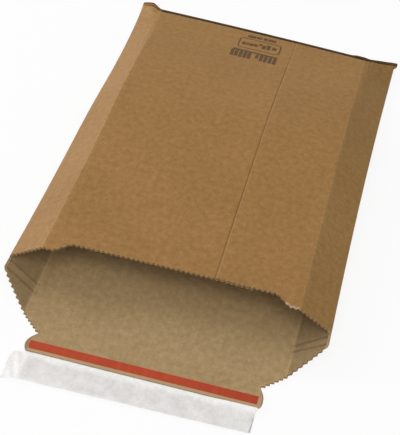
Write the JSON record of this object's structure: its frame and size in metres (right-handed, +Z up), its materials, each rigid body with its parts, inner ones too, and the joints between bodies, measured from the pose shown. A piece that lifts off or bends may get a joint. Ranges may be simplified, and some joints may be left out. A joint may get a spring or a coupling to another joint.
{
  "type": "cardboard mailing envelope",
  "caption": "Flat mailing envelope of thin corrugated board, with an open toothed mouth, a closure flap, a tear tape and a covered adhesive strip.",
  "frame": {"origin": "on the floor, under the middle of the tube's length and of its centre panels", "axes": "+Z up, +Y from the open mouth to the closed end, +X to the right as seen from the mouth"},
  "size_m": [0.2098, 0.386, 0.0289],
  "materials": {
    "kraft_board": "matte brown kraft",
    "red_film": "dull brick red",
    "adhesive_film": "clear to white, tacky",
    "white_paper": "pale coated paper"
  },
  "bodies": {
    "root": {"envelope_body": "kraft_board", "tear_strip": "red_film", "closure_tape": "adhesive_film", "release_liner": "white_paper"}
  },
  "joints": []
}
